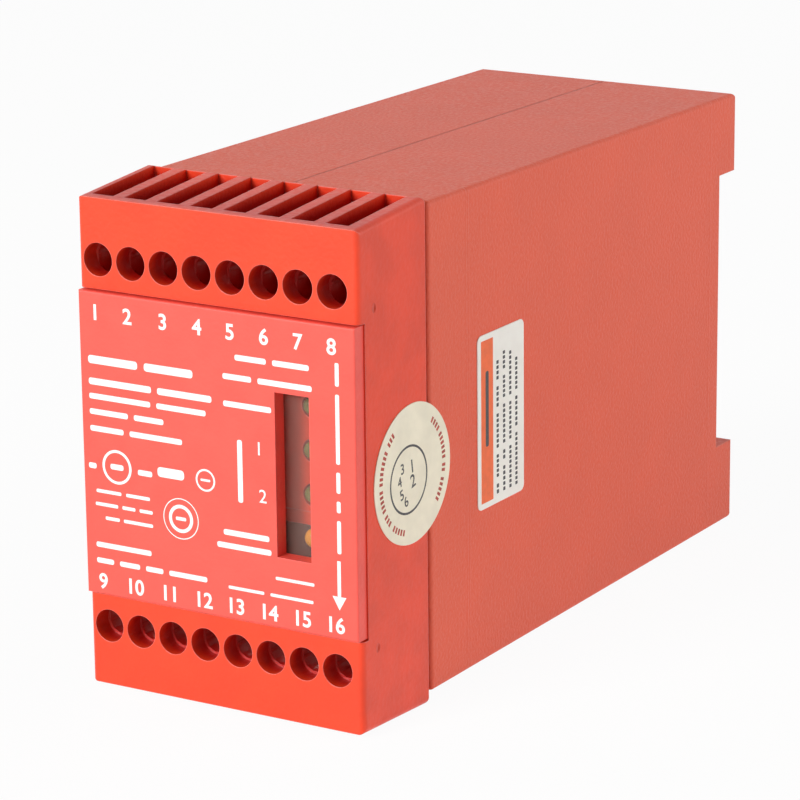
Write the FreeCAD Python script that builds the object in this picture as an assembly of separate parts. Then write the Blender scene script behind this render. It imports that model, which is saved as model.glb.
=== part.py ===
import FreeCAD, Part
import math
import os
from FreeCAD import Vector

# Safety relay in a moulded housing for a 35 mm mounting rail.
# Frame: the origin is the centre of the rail seat on the back of the case, +Y points out of the
# back, +Z up, and +X to the right of someone who faces the front.  Sizes are in millimetres.

# ---- terminal rows and overall width
terminal_count = 8            # clamps in each of the two rows
terminal_pitch = 5.38
end_margin = 0.98             # head width beyond the clamp pitches, at each end
row_shift = -0.4              # the rows stand slightly left of the middle
row_inset = 8.6               # from the head's upper or lower front edge to the screws
body_width = terminal_count * terminal_pitch + 2 * end_margin

# ---- case
case_depth = 86.5             # front rim to rail seat
case_height = 69.35           # at the front rim
case_centre_z = -0.375
case_draft = 0.65             # drop of the roof and rise of the floor from rim to feet
case_wall = 1.8
case_back_wall = 2.0
case_edge_radius = 0.7
witness_width = 0.2           # line left by the two halves of the mould
witness_depth = 0.1
foot_depth = 5.0              # feet above and below the rail stand out this far
recess_height = 43.3          # between the two feet

# ---- mounting rail and what grips it
rail_height = 35.0
rail_lip = 1.0
rail_play = 0.2
hook_width = 30.0
hook_overlap = 1.3
hook_thickness = 2.1
latch_width = 16.0
latch_thickness = 3.0
latch_play = 0.3
latch_travel = 2.2
latch_tail_gap = 0.3          # the latch ends this far above the case floor
latch_seat_gap = 0.3          # latch to its pocket in the seat and, when open, to the foot
latch_grip_height = 1.2       # screwdriver slot in the latch's lower end
latch_reach_height = 2.5      # opening in the foot behind that slot
latch_slot_drop = 5.1         # from the rail's lower edge to the top of the spring slot
latch_slot_width = 3.8
latch_web = 1.6               # between the grip and the spring slot
ledge_thickness = 1.0
spring_radius = 1.15
spring_wire = 0.5             # square, from corner to corner
spring_turns = 5

# ---- clamps, from the front face inwards
access_radius = 2.35
access_depth = 3.0
shaft_radius = 2.05
screw_head_depth = 6.9        # front face to screw head
screw_head_radius = 1.85
screw_head_height = 1.6
screw_slot_width = 0.6
screw_slot_depth = 0.8
shank_radius = 1.25
shank_slot_play = 0.2
thread_play = 0.05
shoulder_thickness = 0.6
clamp_play = 0.1              # small gaps along the screw's axis
clamp_travel = 1.8
cage_front_wall = 0.9
cage_back_wall = 0.6
cage_side_wall = 0.6
cage_width = 4.0
cage_height = 4.6
bar_thickness = 0.7
bar_width = 2.2
bar_tail_width = 1.2
bar_slot_play = 0.12
bar_tail_reach = 0.6          # solder end behind the terminal board
chamber_width = 4.4
chamber_height = 5.8
chamber_play = 0.7            # behind the open cage
chamber_back_wall = 0.7

# ---- terminal head
head_gap = 0.8                # joint between head and case
head_height = 69.65           # at the front face
head_centre_z = -0.975
head_flare_top = 1.35         # the head is taller at its back than at its front
head_flare_bottom = 0.75
head_edge_radius = 0.9
head_side_wall = 1.8
upper_strip_height = 12.75    # front faces above and below the cover
lower_strip_height = 13.15
cavity_shelf = 1.4            # wall between cover opening and inner cavity
trough_width = 3.6
trough_front_wall = 1.5
trough_back_wall = 0.5
trough_floor = 3.7            # above the screws' axis
skirt_wall = 1.2
skirt_fit = 0.2
skirt_depth = 5.3
ridge_width = 14.0
ridge_height = 0.5
ridge_length = 1.2
ridge_play = 0.25
plate_depth = 4.28            # strip face to lamp plate
plate_thickness = 1.2

# ---- front cover, window and lamps
cover_gap = 0.23
cover_side_inset = 0.24
cover_proud = 0.72
cover_seat = 1.5              # the cover's rim rests this far behind the strip faces
cover_plate = 1.5
cover_rim = 1.2
cover_edge_radius = 0.25
catch_width = 5.0
catch_wall = 1.0
catch_reach = 2.4
catch_barb = 0.35
catch_barb_length = 0.8
catch_play = 0.15
catch_places = (-15.0, 3.5)
window_width = 5.45
window_height = 23.0
window_x = 12.28
window_z = -0.9
pane_thickness = 0.9
pane_lap = 1.1
lamp_radius = 1.5
lamp_flange_lip = 0.4
lamp_flange = 0.8
lens_slope = 0.7              # stands for the rounded end of a lamp
lamp_play = 0.15
lamp_pitch = 6.2
lamp_count = 3
first_lamp_offset = 8.7       # above the window's middle
amber_radius = 1.75
lamp_block_width = 9.4
lamp_block_height = 7.0
lamp_block_play = 0.3

# ---- boards and what they carry
board_thickness = 1.6
board_play = 0.2
terminal_board_recess = 1.3   # from the terminal board's back to the head's back
board_edge_gap = 0.6
indicator_standoff = 1.5
indicator_width = 36.0
indicator_margin = 2.0
peg_width = 2.6
peg_gap = 1.0                 # to the board's edge and the lamp block
rib_thickness = 1.05
rib_play = 0.15
rib_lap = 1.2
main_board_inset = 3.2        # case wall to board
control_board_inset = 2.7
board_tail_gap = 6.0          # board end to the case's back wall
relay_length = 38.0
relay_width = 26.0
relay_height = 16.5
relay_spacing = 28.0
relay_base = 1.5
relay_base_lip = 0.4
relay_start = 3.0             # behind the board's front edge
core_length = 32.0
core_height = 22.0
core_stack = 14.0
core_leg = 8.0
core_yoke = 5.5
coil_overhang = 6.8
coil_play = 0.2
core_end_gap = 1.5            # transformer to the board's rear end
core_centre_z = -1.0
capacitor_radius = 5.0
capacitor_height = 12.0
capacitor_offset = 14.0
capacitor_place = 13.0        # behind the board's front edge
chip_length = 19.3
chip_width = 6.4
chip_height = 3.3
chip_lift = 0.5
chip_leg_count = 8            # on each side
chip_leg_span = 7.6
chip_leg_width = 0.5
chip_place = 28.0
chip_offset = 10.0
rectifier_size = 8.0
rectifier_height = 6.0
rectifier_gap = 3.0

# ---- paper labels
label_thickness = 0.12
seal_radius = 9.84
seal_y = -91.2
seal_z = -2.3
label_length = 12.9
label_height = 25.15
label_radius = 1.0
label_front = 12.7            # behind the case's front rim
label_centre_z = 0.12

# ---- screws, cages and lamps repeat, so this many flats stand for each of their circles
round_sides = 12

# ---- places worked out from the sizes
half_width = body_width / 2
case_front = -case_depth
case_top = case_centre_z + case_height / 2
case_bottom = case_centre_z - case_height / 2
case_slope = case_draft / (case_depth + foot_depth)
recess_top = recess_height / 2
recess_bottom = -recess_height / 2
rail_top = rail_height / 2 + rail_play
rail_bottom = -rail_height / 2 - rail_play
nose_reach = hook_overlap + rail_play   # of the hook and the latch past the rail's edge

shoulder_offset = screw_head_depth + screw_head_height + clamp_play
chamber_offset = shoulder_offset + shoulder_thickness
cage_offset = chamber_offset + clamp_play + clamp_travel
shank_end_offset = cage_offset + cage_front_wall + clamp_play
bar_offset = shank_end_offset + 2 * clamp_play
cage_gap_end = bar_offset + bar_thickness + clamp_travel + clamp_play
cage_end_offset = cage_gap_end + cage_back_wall
head_depth = cage_end_offset + chamber_play + chamber_back_wall

head_back = case_front - head_gap
head_front = head_back - head_depth
head_top = head_centre_z + head_height / 2
head_bottom = head_centre_z - head_height / 2
opening_top = head_top - upper_strip_height
opening_bottom = head_bottom + lower_strip_height
cavity_top = opening_top - cavity_shelf
cavity_bottom = opening_bottom + cavity_shelf
cavity_half = half_width - head_side_wall
rim_y = head_front + cover_seat
plate_front = head_front + plate_depth
plate_back = plate_front + plate_thickness
skirt_end = head_back + skirt_depth
skirt_half = half_width - case_wall - skirt_fit

row_places = [row_shift + (n - (terminal_count - 1) / 2) * terminal_pitch
              for n in range(terminal_count)]
# each row: name, height of its screw axes, and the side on which its wires go in
rows = (("upper", head_top - row_inset, 1), ("lower", head_bottom + row_inset, -1))
tail_gap = 1.5                # contact bar tails to the cavity's roof or floor

cover_front = head_front - cover_proud
cover_top = opening_top - cover_gap
cover_bottom = opening_bottom + cover_gap
cover_half = half_width - cover_side_inset
pane_back = rim_y + pane_thickness
lamp_heights = [window_z + first_lamp_offset - n * lamp_pitch for n in range(lamp_count + 1)]
amber_z = lamp_heights[-1]

indicator_front = plate_back + indicator_standoff
terminal_board_back = head_back - terminal_board_recess
terminal_board_front = terminal_board_back - board_thickness
side_board_front = head_back + board_play
skirt_roof = case_top - case_wall - skirt_fit - case_slope * skirt_depth
skirt_floor = case_bottom + case_wall + skirt_fit + case_slope * skirt_depth
board_top = skirt_roof - skirt_wall - board_edge_gap
board_bottom = skirt_floor + skirt_wall + board_edge_gap
board_end = -case_back_wall - board_tail_gap
main_board_face = -half_width + case_wall + main_board_inset + board_thickness
control_board_face = half_width - case_wall - control_board_inset - board_thickness

latch_front = rail_lip
latch_back = latch_front + latch_thickness
latch_tail = case_bottom + case_slope * (case_depth + latch_back) + latch_tail_gap
latch_slot_top = rail_bottom - latch_slot_drop
latch_slot_bottom = latch_tail + latch_grip_height + latch_web
ledge_top = latch_slot_bottom + latch_play + ledge_thickness
spring_length = latch_slot_top - ledge_top


def box(x, y, z):
    """Box between the two ends given on each axis."""
    return Part.makeBox(x[1] - x[0], y[1] - y[0], z[1] - z[0], Vector(x[0], y[0], z[0]))


def around(centre, width):
    """Both ends of a width about its centre."""
    return (centre - width / 2, centre + width / 2)


def ordered(a, b):
    return (min(a, b), max(a, b))


def rod_y(radius, y, x, z):
    """Cylinder along Y between the two ends in y."""
    return Part.makeCylinder(radius, y[1] - y[0], Vector(x, y[0], z), Vector(0, 1, 0))


def rod_x(radius, x, y, z):
    """Cylinder along X between the two ends in x."""
    return Part.makeCylinder(radius, x[1] - x[0], Vector(x[0], y, z), Vector(1, 0, 0))


def side_prism(outline, x):
    """Outline of (y, z) corners drawn across from x[0] to x[1]."""
    corners = [Vector(x[0], y, z) for y, z in outline]
    face = Part.Face(Part.makePolygon(corners + corners[:1]))
    return face.extrude(Vector(x[1] - x[0], 0, 0))


def ring_y(radius, y, x, z):
    """Closed ring of round_sides flats about an axis along Y, with its corners at the radius."""
    turns = [2 * math.pi * (side + 0.5) / round_sides for side in range(round_sides)]
    corners = [Vector(x + radius * math.cos(turn), y, z + radius * math.sin(turn))
               for turn in turns]
    return Part.makePolygon(corners + corners[:1])


def many_sided(radius, y, x, z):
    """Many-sided bar along Y between the two ends in y."""
    return Part.Face(ring_y(radius, y[0], x, z)).extrude(Vector(0, y[1] - y[0], 0))


def rounded(shape, radius, wanted):
    """Fillet the straight edges whose two ends pass the test."""
    edges = []
    for edge in shape.Edges:
        if len(edge.Vertexes) == 2:
            a, b = (vertex.Point for vertex in edge.Vertexes)
            if wanted(a, b):
                edges.append(edge)
    return shape.makeFillet(radius, edges)


def near(a, b):
    return abs(a - b) < 0.01


def case_roof(y, inset=0.0):
    return case_top - inset - case_slope * (y - case_front)


def case_floor(y, inset=0.0):
    return case_bottom + inset + case_slope * (y - case_front)


def case_shell():
    """Drafted box with the rail recess in its back and every outer edge rounded."""
    outline = [(case_front, case_top), (foot_depth, case_roof(foot_depth)),
               (foot_depth, recess_top), (0, recess_top), (0, recess_bottom),
               (foot_depth, recess_bottom), (foot_depth, case_floor(foot_depth)),
               (case_front, case_bottom)]
    shell = side_prism(outline, (-half_width, half_width))

    def is_outer(a, b):
        in_recess = all(p.y > -0.01 and abs(p.z) < recess_top + 0.01 for p in (a, b))
        across_back = near(a.y, b.y) and near(a.y, foot_depth) and not near(a.z, b.z)
        return not in_recess and not across_back

    return rounded(shell, case_edge_radius, is_outer)


def case_hollow():
    """Space inside the walls, with pockets that core out both feet."""
    inner_half = half_width - case_wall
    back = -case_back_wall
    outline = [(case_front - 1, case_roof(case_front - 1, case_wall)),
               (back, case_roof(back, case_wall)), (back, case_floor(back, case_wall)),
               (case_front - 1, case_floor(case_front - 1, case_wall))]
    spaces = [side_prism(outline, (-inner_half, inner_half))]
    pocket_y = (back - 0.5, foot_depth - case_wall)
    roof = case_roof(foot_depth, case_wall)
    floor = case_floor(foot_depth, case_wall)
    spaces.append(box((-inner_half, inner_half), pocket_y, (recess_top + case_wall, roof)))
    channel_side = latch_width / 2 + latch_play + case_wall
    for x in ((-inner_half, -channel_side), (channel_side, inner_half)):
        spaces.append(box(x, pocket_y, (floor, recess_bottom - case_wall)))
    return spaces


def rail_hook():
    """Fixed hook that reaches down behind the rail's upper lip."""
    lip = rail_lip + rail_play
    outline = [(-0.5, recess_top + 0.5), (-0.5, rail_top), (lip, rail_top),
               (lip, rail_top - nose_reach), (lip + hook_thickness / 2, rail_top - nose_reach),
               (lip + hook_thickness, rail_top), (lip + hook_thickness, recess_top + 0.5)]
    return side_prism(outline, around(0, hook_width))


def hook_window():
    """Slot in the back wall behind the hook's nose, left by the core that shapes the nose."""
    return box(around(0, hook_width + 2 * rail_play), (-case_back_wall - 1, rail_lip),
               (rail_top - nose_reach - rail_play, rail_top))


def board_ribs(face, side):
    """Pairs of ribs on roof and floor that hold a board's two long edges."""
    middle = face - side * board_thickness / 2
    reach = board_thickness / 2 + rib_play
    y = (skirt_end + 0.5, -case_back_wall + 0.5)
    ribs = []
    for direction in (-1, 1):
        x = ordered(middle + direction * reach, middle + direction * (reach + rib_thickness))
        ribs.append(box(x, y, (board_top - rib_lap, case_roof(y[1], case_wall / 2))))
        ribs.append(box(x, y, (case_floor(y[1], case_wall / 2), board_bottom + rib_lap)))
    return ribs


def latch_channel():
    """Guide for the rail latch through the lower foot, and its shallow pocket in the seat."""
    x = around(0, latch_width + 2 * latch_play)
    y = (latch_front - latch_play, latch_back + latch_play)
    channel = box(x, y, (case_bottom - 1, recess_bottom + 1))
    reach_in = box(around(0, latch_width / 2), (latch_back, foot_depth + 1),
                   (case_bottom - 1, latch_tail + latch_reach_height))
    pocket = box(x, (-latch_seat_gap, latch_front),
                 (recess_bottom, rail_bottom + nose_reach + latch_play))
    return [channel, reach_in, pocket]


def snap_grooves():
    """Grooves inside roof and floor for the ridges on the head's skirt."""
    y = around(skirt_end - ridge_length, ridge_length + 2 * ridge_play)
    x = around(0, ridge_width + 2 * ridge_play)
    reach = ridge_height - skirt_fit + ridge_play
    upper = case_roof(y[0], case_wall)
    lower = case_floor(y[0], case_wall)
    return [box(x, y, (upper - 1, upper + reach)), box(x, y, (lower - reach, lower + 1))]


def witness_lines():
    """Fine line along the middle of roof and floor, where the mould halves met."""
    x = around(0, witness_width)
    lines = []
    for depth, height in ((-witness_depth, case_roof), (witness_depth, case_floor)):
        far = 3 * depth
        outline = [(case_front - 1, height(case_front - 1) + depth),
                   (foot_depth + 1, height(foot_depth + 1) + depth),
                   (foot_depth + 1, height(foot_depth + 1) - far),
                   (case_front - 1, height(case_front - 1) - far)]
        lines.append(side_prism(outline, x))
    return lines


def make_case():
    shell = case_shell().cut(case_hollow())
    ribs = board_ribs(main_board_face, 1) + board_ribs(control_board_face, -1)
    shell = shell.fuse(ribs + [rail_hook()])
    shell = shell.cut(latch_channel() + snap_grooves() + witness_lines() + [hook_window()])
    ledge = box(around(0, latch_slot_width - 2 * latch_play),
                (latch_front - latch_play - 0.5, latch_back - latch_play),
                (ledge_top - ledge_thickness, ledge_top))
    return shell.fuse(ledge).removeSplitter()


def make_rail_latch():
    """Sliding hook: a plate with a nose behind the rail's lower lip and a spring slot."""
    nose = rail_bottom + nose_reach
    block_bottom = recess_bottom + latch_travel + latch_seat_gap
    nose_front = rail_lip + rail_play
    outline = [(latch_front, latch_tail), (latch_front, block_bottom),
               (0, block_bottom), (0, rail_bottom), (nose_front, rail_bottom),
               (nose_front, nose),
               (nose_front + hook_thickness / 2, nose), (latch_back, rail_bottom - 1),
               (latch_back, latch_tail)]
    plate = side_prism(outline, around(0, latch_width))
    slot = box(around(0, latch_slot_width), (latch_front - 1, latch_back + 1),
               (latch_slot_bottom, latch_slot_top))
    grip = box(around(0, latch_width / 3), (latch_front - 1, latch_back + 1),
               (latch_tail - 1, latch_tail + latch_grip_height))
    return plate.cut([slot, grip])


def make_latch_spring():
    """Square-wire coil spring between the case's ledge and the top of the latch's slot."""
    y = (latch_front + latch_back) / 2
    height = spring_length - spring_wire
    helix = Part.makeHelix(height / spring_turns, height, spring_radius)
    x, z = around(spring_radius, spring_wire), around(0, spring_wire)
    corners = [Vector(x[1], 0, 0), Vector(spring_radius, 0, z[1]), Vector(x[0], 0, 0),
               Vector(spring_radius, 0, z[0])]
    section = Part.makePolygon(corners + corners[:1])
    coil = Part.Wire(helix).makePipeShell([section], True, True)
    coil.translate(Vector(0, y, ledge_top + spring_wire / 2))
    return coil


def clamp_space(x, z, side):
    """Everything cut from the head for one clamp: screw way, chamber, trough and bar slot."""
    shaft_y = (head_front + access_depth - 0.01, head_front + shoulder_offset)
    chamber_y = (head_front + chamber_offset, head_back - chamber_back_wall)
    inward = ordered(z, z - side * chamber_height / 2)
    trough_end = head_top + head_flare_top + 1 if side > 0 else head_bottom - head_flare_bottom - 1
    bar_y = (head_front + bar_offset - bar_slot_play,
             head_front + bar_offset + bar_thickness + bar_slot_play)
    cavity = cavity_top - 0.5 if side > 0 else cavity_bottom + 0.5
    shank_slot = 2 * (shank_radius + shank_slot_play)
    return [
        rod_y(access_radius, (head_front - 1, head_front + access_depth), x, z),
        many_sided(shaft_radius, shaft_y, x, z),
        box(around(x, 2 * shaft_radius), shaft_y, inward),
        box(around(x, shank_slot), (shaft_y[1] - 0.1, chamber_y[0] + 0.1), around(z, shank_slot)),
        box(around(x, chamber_width), chamber_y, around(z, chamber_height)),
        box(around(x, trough_width), chamber_y, ordered(z, z + side * (trough_floor + 0.1))),
        box(around(x, trough_width),
            (head_front + trough_front_wall, head_back - trough_back_wall),
            ordered(z + side * trough_floor, trough_end)),
        box(around(x, bar_width + 2 * bar_slot_play), bar_y, ordered(z, cavity)),
    ]


def make_terminal_head():
    """One moulding: clamp rows, cover opening, lamp plate, side walls and plug-in skirt."""
    outline = [(head_front, head_top), (head_back, head_top + head_flare_top),
               (head_back, head_bottom - head_flare_bottom), (head_front, head_bottom)]
    body = side_prism(outline, (-half_width, half_width))

    def is_corner(a, b):
        along_depth = not near(a.y, b.y)
        front_upright = near(a.y, head_front) and near(b.y, head_front) and near(a.x, b.x)
        back_across = near(a.y, head_back) and near(b.y, head_back) and not near(a.x, b.x)
        return along_depth or front_upright or back_across

    body = rounded(body, head_edge_radius, is_corner)
    cavity_z = (cavity_bottom, cavity_top)
    cuts = [box((-half_width - 1, half_width + 1), (head_front - 1, rim_y),
                (opening_bottom, opening_top)),
            box((-cavity_half, cavity_half), (rim_y - 0.5, plate_front), cavity_z),
            box((-cavity_half, cavity_half), (plate_back, head_back + 1), cavity_z)]
    for height in lamp_heights[:-1]:
        cuts.append(rod_y(lamp_radius + lamp_play, (plate_front - 1, plate_back + 1),
                          window_x, height))
    cuts.append(box(around(window_x, lamp_block_width + 2 * lamp_block_play),
                    (plate_front - 1, plate_back + 1),
                    around(amber_z, lamp_block_height + 2 * lamp_block_play)))
    for x in catch_places:
        across = around(x, catch_width + 2 * catch_play)
        barb_y = (rim_y + catch_reach - catch_barb_length - catch_play,
                  rim_y + catch_reach + catch_play)
        cuts.append(box(across, barb_y, (cavity_top - 1, cavity_top + catch_barb + catch_play)))
        cuts.append(box(across, barb_y,
                        (cavity_bottom - catch_barb - catch_play, cavity_bottom + 1)))
    for _, z, side in rows:
        for x in row_places:
            cuts += clamp_space(x, z, side)
    body = body.cut(cuts)
    return body.fuse(head_skirt() + indicator_pegs()).removeSplitter()


def head_skirt():
    """Rim in two halves that plugs into the case, with a snap ridge above and below."""
    y = (head_back - 0.5, skirt_end)
    outer = box((-skirt_half, skirt_half), y, (skirt_floor, skirt_roof))
    inner = box((-skirt_half + skirt_wall, skirt_half - skirt_wall), (y[0] - 1, y[1] + 1),
                (skirt_floor + skirt_wall, skirt_roof - skirt_wall))
    way_in = box((-cavity_half, cavity_half), (y[0] - 1, y[1] + 1), (cavity_bottom, cavity_top))
    ridge_y = around(skirt_end - ridge_length, ridge_length)
    ridge_x = around(0, ridge_width)
    ridges = [box(ridge_x, ridge_y, (skirt_roof - 0.5, skirt_roof + ridge_height)),
              box(ridge_x, ridge_y, (skirt_floor - ridge_height, skirt_floor + 0.5))]
    return [outer.cut([inner, way_in])] + ridges


def indicator_pegs():
    """Four square pegs behind the lamp plate that carry the indicator board."""
    inset = peg_gap + peg_width / 2
    left = -indicator_width / 2 + inset
    right = window_x - lamp_block_width / 2 - inset
    heights = (cavity_bottom + indicator_margin + inset, cavity_top - indicator_margin - inset)
    return [box(around(x, peg_width), (plate_back - 0.5, indicator_front), around(z, peg_width))
            for x in (left, right) for z in heights]


def make_front_cover():
    """Shallow tray that snaps over the opening, with a framed window and four catches."""
    body = box((-cover_half, cover_half), (cover_front, rim_y), (cover_bottom, cover_top))
    body = rounded(body, cover_edge_radius,
                   lambda a, b: near(a.y, cover_front) and near(b.y, cover_front))
    hollow = box((-cover_half + cover_rim, cover_half - cover_rim),
                 (cover_front + cover_plate, rim_y + 1),
                 (cover_bottom + cover_rim, cover_top - cover_rim))
    frame = box(around(window_x, window_width + 2 * cover_rim), (cover_front + 1, rim_y),
                around(window_z, window_height + 2 * cover_rim))
    window = box(around(window_x, window_width), (cover_front - 1, rim_y + 1),
                 around(window_z, window_height))
    body = body.cut(hollow).fuse(frame).cut(window)
    arm_y = (cover_front + 1, rim_y + catch_reach)
    barb_y = (arm_y[1] - catch_barb_length, arm_y[1])
    catches = []
    for x in catch_places:
        across = around(x, catch_width)
        for edge, side in ((cavity_top, 1), (cavity_bottom, -1)):
            face = edge - side * catch_play
            catches.append(box(across, arm_y, ordered(face, face - side * catch_wall)))
            catches.append(box(across, barb_y, ordered(face + side * catch_barb, face)))
    return body.fuse(catches).removeSplitter()


def make_window_pane():
    return box(around(window_x, window_width + 2 * pane_lap), (rim_y, pane_back),
               around(window_z, window_height + 2 * pane_lap))


def make_lamp(radius, x, z, seat, tip):
    """Lamp: flange on its seat, barrel, and a lens whose rounding is one slope."""
    barrel = many_sided(radius, (tip, seat), x, z)
    rim = [edge for edge in barrel.Edges if all(near(v.Point.y, tip) for v in edge.Vertexes)]
    barrel = barrel.makeChamfer(lens_slope, rim)
    return many_sided(radius + lamp_flange_lip, (seat - lamp_flange, seat), x, z).fuse(barrel)


def make_lamp_block():
    """Black socket that fills the lamp plate's opening around the amber lamp."""
    return box(around(window_x, lamp_block_width), (plate_front, indicator_front),
               around(amber_z, lamp_block_height))


def make_indicator_board():
    board = box(around(0, indicator_width), (indicator_front, indicator_front + board_thickness),
                (cavity_bottom + indicator_margin, cavity_top - indicator_margin))
    return board


def tail_height(side):
    """Height of the contact bars' tails, just inside the head's cavity."""
    return cavity_top - tail_gap if side > 0 else cavity_bottom + tail_gap


def make_contact_bar(x, z, side):
    """Bent strip: upright through the clamp's cage, then back through the terminal board."""
    y = head_front + bar_offset
    tail = tail_height(side)
    upright = box(around(x, bar_width), (y, y + bar_thickness),
                  ordered(z + side * (cage_height / 2 + 0.2), tail - side * bar_thickness))
    foot = box(around(x, bar_tail_width), (y, terminal_board_back + bar_tail_reach),
               ordered(tail, tail - side * bar_thickness))
    return upright.fuse(foot).removeSplitter()


def make_terminal_board():
    """Board across the back of the head's cavity, slotted for the sixteen contact tails."""
    half = cavity_half - board_play
    thick = (terminal_board_front, terminal_board_back)
    board = box((-half, half), thick, (cavity_bottom + board_play, cavity_top - board_play))
    slots = []
    for _, _, side in rows:
        tail = tail_height(side)
        z = ordered(tail + side * bar_slot_play, tail - side * (bar_thickness + bar_slot_play))
        for x in row_places:
            slots.append(box(around(x, bar_tail_width + 2 * bar_slot_play),
                             (thick[0] - 1, thick[1] + 1), z))
    return board.cut(slots)


def make_clamp_screw(x, z):
    """Slotted cheese-head screw; its thread is left plain."""
    y = head_front + screw_head_depth
    neck = y + screw_head_height
    screw = many_sided(screw_head_radius, (y, neck), x, z).fuse(
        many_sided(shank_radius, (neck, head_front + shank_end_offset), x, z))
    slot = box(around(x, 3 * screw_head_radius), (y - 1, y + screw_slot_depth),
               around(z, screw_slot_width))
    return screw.cut(slot)


def make_clamp_cage(x, z):
    """Box of folded strip, open above and below, with a tapped front wall."""
    y = (head_front + cage_offset, head_front + cage_end_offset)
    cage = box(around(x, cage_width), y, around(z, cage_height))
    wire_way = box(around(x, cage_width - 2 * cage_side_wall),
                   (y[0] + cage_front_wall, head_front + cage_gap_end),
                   around(z, cage_height + 2))
    corner = (shank_radius + thread_play) / math.cos(math.pi / round_sides)
    thread = many_sided(corner, (y[0] - 1, y[0] + cage_front_wall + 0.5), x, z)
    return cage.cut([wire_way, thread])


def make_side_board(face, side):
    """Upright board along one side of the case; side is the way its parts stand."""
    return box(ordered(face, face - side * board_thickness), (side_board_front, board_end),
               (board_bottom, board_top))


def make_relay(z):
    """Sealed relay lying along the main board, with a base slightly larger than its cover."""
    y = (side_board_front + relay_start, side_board_front + relay_start + relay_length)
    face = main_board_face
    base = box((face, face + relay_base), y, around(z, relay_width))
    cover = box((face + relay_base, face + relay_height), (y[0] + relay_base_lip,
                y[1] - relay_base_lip), around(z, relay_width - 2 * relay_base_lip))
    cover = rounded(cover, 0.6, lambda a, b: near(a.x, face + relay_height)
                    and near(b.x, face + relay_height))
    return base.fuse(cover)


def transformer_y():
    return (board_end - core_end_gap - core_length, board_end - core_end_gap)


def core_windows():
    """Ends in x and y of the two slots that the coil fills."""
    middle = sum(transformer_y()) / 2
    x = (main_board_face + core_yoke, main_board_face + core_height - core_yoke)
    outer = core_length / 2 - core_leg / 2
    return x, middle, outer


def make_transformer_core():
    """Laminated core with three legs between two yokes."""
    x, middle, outer = core_windows()
    core = box((main_board_face, main_board_face + core_height), transformer_y(),
               around(core_centre_z, core_stack))
    slots = [box(x, ordered(middle + side * core_leg / 2, middle + side * outer),
                 around(core_centre_z, core_stack + 2)) for side in (-1, 1)]
    return core.cut(slots)


def make_transformer_coil():
    """Winding around the middle leg, standing out above and below the core."""
    x, middle, outer = core_windows()
    coil = box((x[0] + coil_play, x[1] - coil_play), around(middle, 2 * (outer - coil_play)),
               around(core_centre_z, core_stack + 2 * coil_overhang))
    edges_along_x = rounded(coil, 2.0, lambda a, b: not near(a.x, b.x))
    leg = box((x[0] - 1, x[1] + 1), around(middle, core_leg + 2 * coil_play),
              around(core_centre_z, core_stack + 2 * coil_play))
    return edges_along_x.cut(leg)


def make_capacitor(z):
    """Round can standing on the control board."""
    face = control_board_face
    y = side_board_front + capacitor_place
    return rod_x(capacitor_radius, (face - capacitor_height, face), y, z)


def make_logic_chip(z):
    """Flat package on two rows of legs."""
    face = control_board_face
    y = (side_board_front + chip_place, side_board_front + chip_place + chip_length)
    package = box((face - chip_lift - chip_height, face - chip_lift), y, around(z, chip_width))
    pitch = chip_length / chip_leg_count
    legs = []
    for place in range(chip_leg_count):
        along = around(y[0] + (place + 0.5) * pitch, chip_leg_width)
        legs.append(box((face - chip_lift - chip_height / 2, face), along,
                        around(z, chip_leg_span)))
    under = box((face - chip_lift, face + 1), y, around(z, chip_width))
    return package.fuse([leg.cut(under) for leg in legs]).removeSplitter()


def make_rectifier():
    """Square moulded bridge rectifier above the transformer."""
    start = transformer_y()[0]
    z = core_centre_z + core_stack / 2 + coil_overhang + rectifier_gap
    block = box((main_board_face, main_board_face + rectifier_height),
                (start, start + rectifier_size), (z, z + rectifier_size))
    return block.makeChamfer(1.2, [edge for edge in block.Edges
                                   if all(near(v.Point.y, start) and near(v.Point.z, z)
                                          for v in edge.Vertexes)])


def make_seal_disc():
    """Round paper seal that bridges the joint of head and case."""
    return rod_x(seal_radius, (half_width, half_width + label_thickness), seal_y, seal_z)


def make_side_label():
    front = case_front + label_front
    label = box((half_width, half_width + label_thickness), (front, front + label_length),
                around(label_centre_z, label_height))
    return rounded(label, label_radius, lambda a, b: not near(a.x, b.x))


parts = {
    "case": make_case(),
    "terminal_head": make_terminal_head(),
    "front_cover": make_front_cover(),
    "window_pane": make_window_pane(),
    "lamp_block": make_lamp_block(),
    "indicator_board": make_indicator_board(),
    "terminal_board": make_terminal_board(),
    "main_board": make_side_board(main_board_face, 1),
    "control_board": make_side_board(control_board_face, -1),
    "relay_1": make_relay(relay_spacing / 2 + case_centre_z),
    "relay_2": make_relay(-relay_spacing / 2 + case_centre_z),
    "transformer_core": make_transformer_core(),
    "transformer_coil": make_transformer_coil(),
    "rectifier": make_rectifier(),
    "rail_latch": make_rail_latch(),
    "latch_spring": make_latch_spring(),
    "seal_disc": make_seal_disc(),
    "side_label": make_side_label(),
    "amber_lamp": make_lamp(amber_radius, window_x, amber_z, plate_front,
                            pane_back + clamp_play),
}
for number, height in enumerate(lamp_heights[:-1], 1):
    parts[f"green_lamp_{number}"] = make_lamp(lamp_radius, window_x, height, indicator_front,
                                              pane_back + clamp_play)
for number, side in ((1, 1), (2, -1)):
    parts[f"capacitor_{number}"] = make_capacitor(side * capacitor_offset)
    parts[f"logic_chip_{number}"] = make_logic_chip(side * chip_offset)
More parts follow.
